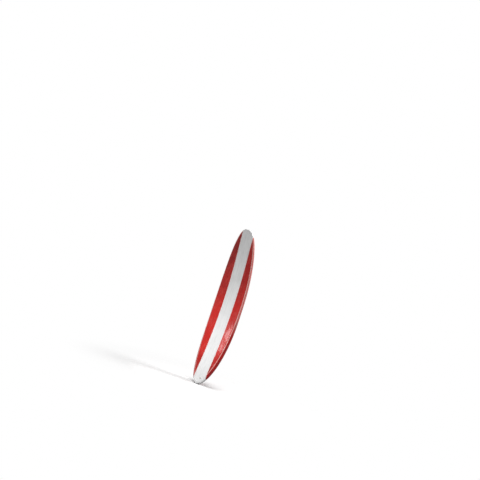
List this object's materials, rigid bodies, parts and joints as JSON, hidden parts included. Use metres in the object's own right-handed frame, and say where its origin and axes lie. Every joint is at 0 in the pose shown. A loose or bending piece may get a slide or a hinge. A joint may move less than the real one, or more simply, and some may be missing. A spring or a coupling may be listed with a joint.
{
  "type": "longboard surfboard",
  "caption": "Glossy red longboard surfboard with a wide white centre stripe, rounded nose and tail, wooden stringer, a sliding centre fin in a long box, side fin boxes and a leash plug.",
  "frame": {"origin": "tail tip, the lowest point of the board standing on its tail", "axes": "+Z from tail to nose, +Y out of the bottom on the fin's side, so the deck faces -Y, +X towards the right rail seen from the deck"},
  "size_m": [0.61, 0.3343, 2.743],
  "materials": {
    "foam": "shaped polyurethane foam",
    "stringer_wood": "planed softwood",
    "deck_red": "tinted resin, polished gloss coat",
    "stripe_white": "tinted resin, polished gloss coat",
    "hull_red": "tinted resin, polished gloss coat",
    "pinline_pink": "tinted resin bead",
    "box_white": "moulded, sanded flush",
    "fin_black": "moulded composite, polished",
    "pin_brass": "turned",
    "screw_steel": "stainless, turned"
  },
  "bodies": {
    "board": {"foam_blank_left": "foam", "foam_blank_right": "foam", "stringer": "stringer_wood", "deck_panel_left": "deck_red", "deck_panel_centre": "stripe_white", "deck_panel_right": "deck_red", "bottom_laminate": "hull_red", "pinline": "pinline_pink", "fin_box": "box_white", "side_fin_box_left": "box_white", "side_fin_box_right": "box_white", "leash_cup": "box_white", "leash_bar": "screw_steel"},
    "fin": {"centre_fin": "fin_black", "fin_cross_pin": "pin_brass", "fin_plate_nut": "screw_steel"},
    "screw": {"fin_screw": "screw_steel"}
  },
  "joints": [
    {"name": "fin_slide", "type": "slide", "parent": "board", "child": "fin", "axis": [0, 0.1892, 0.9819], "range_m": [-0.028, 0.028]},
    {"name": "fin_screw_turn", "type": "hinge", "parent": "fin", "child": "screw", "pos_m": [0, 0.11092, 0.41914], "axis": [0, 0.9819, -0.1892], "continuous": true}
  ]
}
